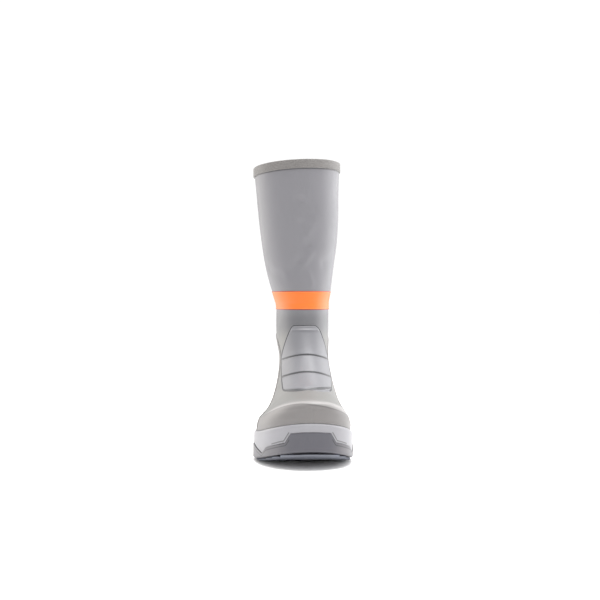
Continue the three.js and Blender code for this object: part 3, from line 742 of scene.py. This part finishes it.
class BOOT_OT_instep_guard(bpy.types.Operator):
    """Padded guard on the instep, cut across by arched grooves"""
    bl_idname = "boot.make_instep_guard"
    bl_label = "Instep guard"

    def execute(self, context):
        sizes = context.scene.boot_sizes
        pad, web = sizes.guard_pad / MM, sizes.guard_web / MM
        up = np.linspace(0, 1, 190)
        share = GUARD["height"][0] + (GUARD["height"][-1] - GUARD["height"][0]) * up
        lateral = smooth(GUARD, "height", "lateral", share) * UPPER_WIDTH - GUARD_RIM
        medial = smooth(GUARD, "height", "medial", share) * UPPER_WIDTH + GUARD_RIM
        top_round, bottom_round = 3.0, 2.0
        left = rise_at(GUARD["height"][-1]) - rise_at(share)
        draw_in = corner(left, top_round)
        left = rise_at(share) - rise_at(GUARD["height"][0])
        draw_in = draw_in + corner(left, bottom_round)
        lateral, medial = lateral + draw_in, medial - draw_in
        across = np.linspace(-1, 1, 150)
        across = np.sin(across * HALF_TURN / 2) * 0.35 + across * 0.65
        x = (lateral + medial)[:, None] / 2 + across * (medial - lateral)[:, None] / 2
        foot = GUARD_FOOT_ARCH * RISE * (1 - np.abs(across)) * (1 - up[:, None]) ** 2
        z = rise_at(share)[:, None] + GUARD_RIM * up[:, None] + foot
        level, turn = front_view(x, z)
        base = surface(level, turn)
        flat = base * (1, 0, 1)
        sides = line_distance(flat, flat[-1], flat[:, 0], flat[:, -1])
        distance = np.minimum(sides, line_distance(flat, flat[0]))
        lip = web * round_edge(distance, 0.5) * (1 - soft_step((distance - 0.7) / 0.4))
        rise = pad * round_edge(distance - 1.7, 1.3)
        groove = np.abs(sides - GUARD_RIM) - 0.2
        reach = np.linspace(-1, 1, 41)
        lines = [rise_at(height - fall * reach ** 2) - 1 for height, fall in GUARD_GROOVES]
        lines.append(rise_at(0.352 - 0.016 * reach ** 2 - 0.01 * (1 - reach)))
        for heights in lines:
            middles = (GUARD_MIDDLE + reach * GUARD_REACH * 0.86) * UPPER_WIDTH
            gap = line_distance(np.stack([x, z], -1), np.stack([middles, heights], -1))
            rise *= 0.25 + 0.75 * round_edge(gap - 0.5, 1.2)
            groove = np.minimum(groove, gap - 0.4)
        sill = line_distance(np.stack([x, z], -1), [(-14, rise_at(0.803)), (26, rise_at(0.803))])
        rise += 0.9 * np.exp(-(sill / 1.5) ** 2) * soft_step((distance - 2.5) / 2)
        colour = context.scene.boot_colours.guard
        # Painted shade: a dark line in the grooves round and across the guard, over their shallow recess
        material = rubber("moulded_guard_rubber", colour, line=("groove", 1.0, 0.32))
        overlay("instep_pads", level, turn, lip + rise, GUARD_SUNK, ("groove", np.abs(groove)), material,
                "instep_guard")
        return {"FINISHED"}


class BOOT_OT_heel_guard(bpy.types.Operator):
    """Panel over the heel and both sides of the foot, swept up to the ankle"""
    bl_idname = "boot.make_heel_guard"
    bl_label = "Heel guard"

    def execute(self, context):
        thickness = context.scene.boot_sizes.heel_guard / MM

        def top_of(point):
            share = (along_of(point) - SOLE_LIP) / UPPER_LENGTH
            return rise_at(np.interp(share, HEEL_GUARD["along"], HEEL_GUARD["height"]))

        up = 1 - (1 - np.linspace(0, 1, 80)[:, None]) ** 1.8
        even = np.linspace(0, 1, 226)
        foot_turn = np.arccos(1 - 2 * PANEL_END * even ** 1.5)
        halves = []
        for side in (-1, 1):
            dense = np.linspace(0, foot_turn[-1], 1200)
            edge_level = level_at(side * dense, top_of, high=10.0)
            length = run_length(surface(edge_level, side * dense))
            edge_turn = np.interp(even * length[-1], length, dense)
            edge_level = np.interp(even * length[-1], length, edge_level)
            half = np.stack([side * (foot_turn + (edge_turn - foot_turn) * up), edge_level * up], -1)
            halves.append(half[:, ::-1] if side < 0 else half[:, 1:])
        turn, level = np.moveaxis(np.concatenate(halves, axis=1), -1, 0)
        base = surface(level, turn)
        distance = line_distance(base, base[-1])
        colour = context.scene.boot_colours.rand
        # Painted shade: a dark line 2.4 mm inside the panel's front edge, for the shade of a groove there
        material = rubber("moulded_rand_rubber_heel", colour, line=("edge", 0.9, 0.5))
        overlay("heel_panel", level, turn, thickness * round_edge(distance, 0.8), RAND_SUNK,
                ("edge", distance - 2.4), material, "heel_guard")
        return {"FINISHED"}


class BOOT_OT_ankle_band(bpy.types.Operator):
    """Coloured band round the ankle, with a thin raised line along both edges"""
    bl_idname = "boot.make_ankle_band"
    bl_label = "Ankle band"

    def execute(self, context):
        thickness = context.scene.boot_sizes.band / MM
        columns = 320
        turns = np.arange(columns) * 2 * HALF_TURN / columns
        heights = np.linspace(0, BAND_HEIGHT, 44)
        level = np.stack([
            level_at(turns, lambda point: BAND_BASE + h, low=7.0, high=13.0) for h in heights])
        turn = np.broadcast_to(turns, level.shape)
        distance = np.minimum(heights, BAND_HEIGHT - heights)[:, None]
        line = 0.35 * np.exp(-((distance - 2.6) / 0.5) ** 2)
        colour = context.scene.boot_colours.band
        material = rubber("calendered_band_rubber", colour, 0.03, line=("rim", 1.5, 0.22))
        overlay("band", level, turn, thickness * round_edge(distance, 0.7) - line, BAND_SUNK,
                ("rim", distance), material, "ankle_band", inside=0.0, wrap=True)
        return {"FINISHED"}


def sole_turns(count):
    """Turns round the sole, evenly spaced along its edge, with one at each corner of its split."""
    dense = np.linspace(0, HALF_TURN, 1500)
    length = run_length(surface(0, dense))
    even = np.interp(np.linspace(0, length[-1], count), length, dense)
    corners = HALF_TURN - np.radians(SPLIT["turn"][::-1])
    side = np.unique(np.round(np.concatenate([even, corners]), 5))
    keep = np.concatenate([[True], np.diff(side) > 0.0012])
    side = side[keep]
    side[0], side[-1] = 0, HALF_TURN
    return np.concatenate([side, 2 * HALF_TURN - side[-2:0:-1]])


def sole_ring(turns, inset, height):
    """Ring round the sole at an inset from its edge, its height taken from the feather line."""
    step = 0.02
    run = surface(0, turns + step) - surface(0, turns - step)
    normal = np.stack([run[:, 1], -run[:, 0]], -1)
    normal /= np.linalg.norm(normal, axis=-1, keepdims=True)
    point = surface(0, turns)
    along = along_of(point)
    point[:, :2] += normal * np.broadcast_to(SOLE_LIP - inset, along.shape)[:, None]
    point[:, 2] = height + spring(along)
    return point


def sole_solid(turns, profile):
    """Points and faces of a solid round the sole, from insets and heights."""
    return stack([sole_ring(turns, inset, height) for inset, height in profile])


def fillet(inset, top, radius, degrees):
    """Insets and heights of a rounded top edge."""
    return [(inset + radius * (1 - math.cos(angle)), top - radius * (1 - math.sin(angle)))
            for angle in np.radians(degrees)]


def split_height(turns):
    """Height of the outsole's top edge at each turn."""
    from_toe = np.degrees(np.abs(HALF_TURN - turns))
    return np.interp(from_toe, SPLIT["turn"], SPLIT["height"]) * FEATHER_HEIGHT


def unrolled(turns):
    """Distance along the sole's edge from the toe at each turn, by either side."""
    dense = np.linspace(0, HALF_TURN, 1500)
    length = run_length(surface(0, HALF_TURN - dense))
    return np.interp(np.abs(HALF_TURN - turns), dense, length)


def split_line():
    """The outsole's top edge unrolled, as distance from the toe and height."""
    arc = unrolled(HALF_TURN - np.radians(SPLIT["turn"]))
    return np.stack([arc, SPLIT["height"] * FEATHER_HEIGHT], -1)


class BOOT_OT_midsole(bpy.types.Operator):
    """Pale foxing between the upper and the outsole"""
    bl_idname = "boot.make_midsole"
    bl_label = "Foxing"

    def execute(self, context):
        radius = context.scene.boot_sizes.sole_round / MM
        turns = sole_turns(330)
        split = split_height(turns)
        step, top = OUTSOLE_STEP, FEATHER_HEIGHT
        low = split + 0.45
        profile = [
            (SPLIT_INSET, CORE_HEIGHT + 0.6), (step + 2.2, split - 0.6), (step + 0.8, split - 0.2),
            (step + 0.35, split + 0.1), (step + 0.1, low)]
        profile += [(step, low + (top - radius - low) * share) for share in np.linspace(0.03, 1, 20)]
        profile += fillet(step, top, radius, np.linspace(8, 90, 9))
        profile += [(SOLE_LIP + 0.6, top), (WELL_INSET, top), (WELL_INSET, WELL_HEIGHT)]
        points, faces = sole_solid(turns, profile)
        arc = np.broadcast_to(unrolled(turns), (len(profile), len(turns)))
        height = points[:, 2].reshape(arc.shape) - spring(along_of(points)).reshape(arc.shape)
        dashes = np.full(arc.shape, FAR)
        for turn_a, height_a, turn_b, height_b in DASHES:
            ends = unrolled(HALF_TURN - np.radians([turn_a, turn_b]))
            dash = [(ends[0], height_a), (ends[1], height_b)]
            dashes = np.minimum(dashes, line_distance(np.stack([arc, height], -1), dash))
        colour = context.scene.boot_colours.foxing
        material = rubber("moulded_foxing_rubber", colour, 0.04, line=("dash", 1.0, 0.36))
        mesh_piece("foxing", points, faces, material, "midsole", {"dash": dashes})
        return {"FINISHED"}


class BOOT_OT_outsole(bpy.types.Operator):
    """Outsole tray, whose top edge rises into a toe bumper and dips round the boot"""
    bl_idname = "boot.make_outsole"
    bl_label = "Outsole"

    def execute(self, context):
        turns = sole_turns(330)
        split = split_height(turns)
        along = along_of(surface(0, turns))
        bottom = TREAD_DEPTH + arch(along)
        profile = [(SPLIT_INSET, bottom + 0.4), (3.5, bottom)]
        profile += [(2.4 * (1 - math.sin(angle)), bottom + 2.4 * (1 - math.cos(angle)))
                    for angle in np.radians(np.linspace(0, 90, 7))]
        wall = split - 0.6 - bottom - 2.4
        profile += [(0, bottom + 2.4 + wall * share) for share in np.linspace(0.06, 1, 16)]
        profile += fillet(0, split, 0.6, np.linspace(22, 90, 4))
        profile += [(OUTSOLE_STEP + 0.2, split), (OUTSOLE_STEP + 0.9, split - 0.9),
                    (SPLIT_INSET, CORE_HEIGHT)]
        points, faces = sole_solid(turns, profile)
        arc = np.broadcast_to(unrolled(turns), (len(profile), len(turns)))
        heights = np.array([np.broadcast_to(height, turns.shape) for _, height in profile])
        rim = line_distance(np.stack([arc, heights], -1), split_line())
        from_toe = np.degrees(np.abs(HALF_TURN - turns))
        rim = np.minimum(rim, np.abs(rim - 3.2)) + FAR * (1 - soft_step((from_toe - 15) / 2))
        colours = context.scene.boot_colours
        line = ("rim", 0.9, 0.32)
        material = rubber("moulded_tread_rubber", colours.tread, line=line, side=colours.tread_painted_side_light)
        # Painted light: the sides turn from the toe bumper's dark colour to a lighter one between 14 and
        # 30 degrees from the toe
        painted_light_and_cell_tone = np.broadcast_to(soft_step((from_toe - 14) / 16), rim.shape)
        fields = {"rim": rim, "painted_light_and_cell_tone": painted_light_and_cell_tone}
        mesh_piece("outsole_tray", points, faces, material, "outsole", fields)
        return {"FINISHED"}


def sweep_tree(name, lengths):
    """A Geometry Nodes tree that takes a line, the named lengths and a rubber."""
    tree = bpy.data.node_groups.new(name, "GeometryNodeTree")
    sockets = [("Geometry", "Geometry"), ("Rubber", "Material")]
    sockets += [(length, "Float") for length in lengths]
    for label, kind in sockets:
        tree.interface.new_socket(label, in_out="INPUT", socket_type="NodeSocket" + kind)
    tree.interface.new_socket("Geometry", in_out="OUTPUT", socket_type="NodeSocketGeometry")
    return tree, add(tree, "NodeGroupInput").outputs


def sweep(name, points, edges, tree, group, section, caps, values):
    """Sweeps a section along a line's mesh with the tree, and keeps the result as a plain mesh."""
    lines = add(tree, "GeometryNodeMeshToCurve", {"Mesh": group["Geometry"]})
    upright = add(tree, "GeometryNodeSetCurveNormal", {"Curve": lines.outputs["Curve"]}, mode="Z_UP")
    swept = add(tree, "GeometryNodeCurveToMesh", {
        "Curve": upright.outputs["Curve"], "Profile Curve": section.outputs["Curve"], "Fill Caps": caps})
    real = add(tree, "GeometryNodeRealizeInstances", {"Geometry": swept.outputs["Mesh"]})
    painted = add(tree, "GeometryNodeSetMaterial", {
        "Geometry": real.outputs["Geometry"], "Material": group["Rubber"]})
    add(tree, "NodeGroupOutput", {"Geometry": painted.outputs["Geometry"]})
    mesh = bpy.data.meshes.new(name)
    mesh.from_pydata(points, edges, [])
    piece = bpy.data.objects.new(name, mesh)
    bpy.context.scene.collection.objects.link(piece)
    modifier = piece.modifiers.new(name, "NODES")
    modifier.node_group = tree
    for item in tree.interface.items_tree:
        if item.item_type == "SOCKET" and item.in_out == "INPUT" and item.name in values:
            modifier[item.identifier] = values[item.name]
    bpy.context.view_layer.update()
    made = bpy.data.meshes.new_from_object(piece.evaluated_get(bpy.context.evaluated_depsgraph_get()))
    piece.modifiers.clear()
    piece.data = made
    return piece


class BOOT_OT_tread(bpy.types.Operator):
    """Swept lugs under the heel and the forefoot"""
    bl_idname = "boot.make_tread"
    bl_label = "Tread lugs"

    def execute(self, context):
        pitch = LUG_LENGTH + LUG_GROOVE
        heel = np.arange(LUG_LENGTH / 2 + 4, ARCH_START - 6, pitch)
        forefoot = np.arange(LUG_FOREFOOT_START + LUG_LENGTH / 2, SOLE_LENGTH - 6, pitch)
        dense = np.linspace(0, HALF_TURN, 600)
        points, edges = [], []
        for along in np.concatenate([heel, forefoot]):
            ends = []
            for side in (1, -1):
                edge = sole_ring(dense if side > 0 else 2 * HALF_TURN - dense, LUG_INSET + 0.5, 0)
                at = along - LUG_SWEEP * 0.5
                ends.append((np.interp(at, along_of(edge), edge[:, 0]), at))
            middle = ((ends[0][0] + ends[1][0]) / 2, along)
            start = len(points)
            for x, at in (ends[0], middle, ends[1]):
                points.append((x * MM, (SOLE_LENGTH / 2 - at) * MM, (TREAD_DEPTH / 2 + spring(at)) * MM))
            edges += [(start, start + 1), (start + 1, start + 2)]
        tree, group = sweep_tree("lugs_along_lines", ("Lug length", "Lug depth", "Taper"))
        foot = add(tree, "ShaderNodeMath", {
            0: group["Lug length"], 1: group["Taper"]}, operation="SUBTRACT")
        section = add(tree, "GeometryNodeCurvePrimitiveQuadrilateral", {
            "Bottom Width": group["Lug length"], "Top Width": foot.outputs["Value"],
            "Height": group["Lug depth"], "Offset": 0.0}, mode="TRAPEZOID")
        # The lugs' colour is partly painted light, paler than the outsole
        piece = sweep("tread_lugs", points, edges, tree, group, section, True, {
            "Lug length": LUG_LENGTH * MM, "Lug depth": TREAD_DEPTH * MM, "Taper": 0.0015,
            "Rubber": rubber("lug_rubber_and_painted_light", context.scene.boot_colours.lugs, 0.08)})
        stand_in(piece, "outsole")
        return {"FINISHED"}


class BOOT_OT_binding(bpy.types.Operator):
    """Rolled binding over the edge of the collar"""
    bl_idname = "boot.make_binding"
    bl_label = "Collar binding"

    def execute(self, context):
        thickness = context.scene.boot_sizes.binding / MM
        columns = 400
        turns = np.arange(columns) * 2 * HALF_TURN / columns
        top = surface(TOP_LEVEL, turns) + outward(TOP_LEVEL, turns) * -WALL / 2
        top[:, 2] += thickness + SEAT_GAP - BINDING_HEIGHT / 2
        tree, group = sweep_tree("binding_along_collar", ("Width", "Height", "Edge radius"))
        section = add(tree, "GeometryNodeCurvePrimitiveQuadrilateral", {
            "Width": group["Width"], "Height": group["Height"]}, mode="RECTANGLE")
        rounded = add(tree, "GeometryNodeFilletCurve", {
            "Curve": section.outputs["Curve"], "Count": 5, "Radius": group["Edge radius"]}, mode="POLY")
        edges = [(i, (i + 1) % columns) for i in range(columns)]
        piece = sweep("collar_roll", (top * MM).tolist(), edges, tree, group, rounded, False, {
            "Width": (WALL + 2 * (SEAT_GAP + thickness)) * MM, "Height": BINDING_HEIGHT * MM,
            "Edge radius": 0.0012,
            "Rubber": woven("rubbered_binding_tape", context.scene.boot_colours.binding)})
        piece.data.polygons.foreach_set("use_smooth", [True] * len(piece.data.polygons))
        stand_in(piece, "collar_binding")
        return {"FINISHED"}


class BOOT_OT_insole(bpy.types.Operator):
    """Footbed with a knitted cover"""
    bl_idname = "boot.make_insole"
    bl_label = "Footbed"

    def execute(self, context):
        turns = sole_turns(120)
        floor = WELL_HEIGHT + SEAT_GAP
        edge = WELL_INSET + 0.5
        top = floor + INSOLE_THICKNESS
        profile = [(edge, floor), (edge, top - 1.6), *fillet(edge, top, 1.6, (25, 50, 72, 90)),
                   (edge + 5, top - 0.3), (edge + 12, top - 0.8)]
        points, faces = sole_solid(turns, profile)
        cover = knit("knitted_footbed_cover", context.scene.boot_colours.lining)
        mesh_piece("footbed_cover", points, faces, cover, "insole")
        return {"FINISHED"}


class BOOT_OT_stage(bpy.types.Operator):
    """Pale floor, white surroundings, soft lights and the level camera"""
    bl_idname = "boot.make_stage"
    bl_label = "Stage"

    def execute(self, context):
        stage = context.scene.boot_stage
        mesh = bpy.data.meshes.new("floor")
        mesh.from_pydata([(-30, -30, 0), (30, -30, 0), (30, 30, 0), (-30, 30, 0)], [], [(0, 1, 2, 3)])
        floor = bpy.data.objects.new("floor", mesh)
        context.scene.collection.objects.link(floor)
        paper = bpy.data.materials.new("matt_white_paper")
        paper.use_nodes = True
        shader = paper.node_tree.nodes["Principled BSDF"]
        shader.inputs["Base Color"].default_value = (*linear("#fbfbfb"), 1)
        shader.inputs["Roughness"].default_value = 0.8
        mesh.materials.append(paper)
        world = bpy.data.worlds.new("white_surroundings")
        world.use_nodes = True
        sky = world.node_tree.nodes["Background"].inputs
        sky["Color"].default_value = (1, 1, 1, 1)
        sky["Strength"].default_value = stage.daylight
        context.scene.world = world
        view = Vector((math.sin(stage.swing), math.cos(stage.swing), 0))
        side = Vector((view.y, -view.x, 0))
        aim = Vector((0, 0.0775, stage.height))
        camera = bpy.data.objects.new("camera", bpy.data.cameras.new("camera"))
        context.scene.collection.objects.link(camera)
        camera.location = aim - view * stage.distance + side * 0.0035
        camera.rotation_euler = (math.radians(90), 0, -stage.swing)
        camera.data.lens = stage.lens
        camera.data.sensor_width = 36
        context.scene.camera = camera
        context.scene.view_settings.view_transform = "Standard"
        for name, place, size, power, colour in LIGHTS:
            lamp = bpy.data.lights.new(name, "AREA")
            lamp.size, lamp.energy, lamp.color = size, power, colour
            box = bpy.data.objects.new(name, lamp)
            box.location = place
            inward = Vector((0, 0, 0.2)) - Vector(place)
            box.rotation_euler = inward.to_track_quat("-Z", "Y").to_euler()
            box.visible_camera = False
            context.scene.collection.objects.link(box)
        return {"FINISHED"}


PIECES = (BOOT_OT_upper, BOOT_OT_toe_guard, BOOT_OT_instep_guard, BOOT_OT_heel_guard, BOOT_OT_ankle_band,
          BOOT_OT_binding, BOOT_OT_midsole, BOOT_OT_outsole, BOOT_OT_tread, BOOT_OT_insole, BOOT_OT_stage)


class BOOT_PT_pieces(bpy.types.Panel):
    """Lists the boot's pieces, sizes and colours"""
    bl_idname = "BOOT_PT_pieces"
    bl_label = "Deck boot"
    bl_space_type = "VIEW_3D"
    bl_region_type = "UI"
    bl_category = "Deck boot"

    def draw(self, context):
        for operator in PIECES:
            self.layout.operator(operator.bl_idname)
        for group in (context.scene.boot_sizes, context.scene.boot_colours, context.scene.boot_stage):
            box = self.layout.box()
            for name in group.__annotations__:
                box.prop(group, name)


GROUPS = {"boot_sizes": BootSizes, "boot_colours": BootColours, "boot_stage": BootStage}
CLASSES = (*GROUPS.values(), *PIECES, BOOT_PT_pieces)


def register():
    for kind in CLASSES:
        bpy.utils.register_class(kind)
    for name, group in GROUPS.items():
        setattr(bpy.types.Scene, name, PointerProperty(type=group))


def unregister():
    for name in GROUPS:
        delattr(bpy.types.Scene, name)
    for kind in reversed(CLASSES):
        bpy.utils.unregister_class(kind)


def main():
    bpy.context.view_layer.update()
    register()
    for operator in PIECES:
        group, name = operator.bl_idname.split(".")
        getattr(getattr(bpy.ops, group), name)()


if __name__ == "__main__":
    main()
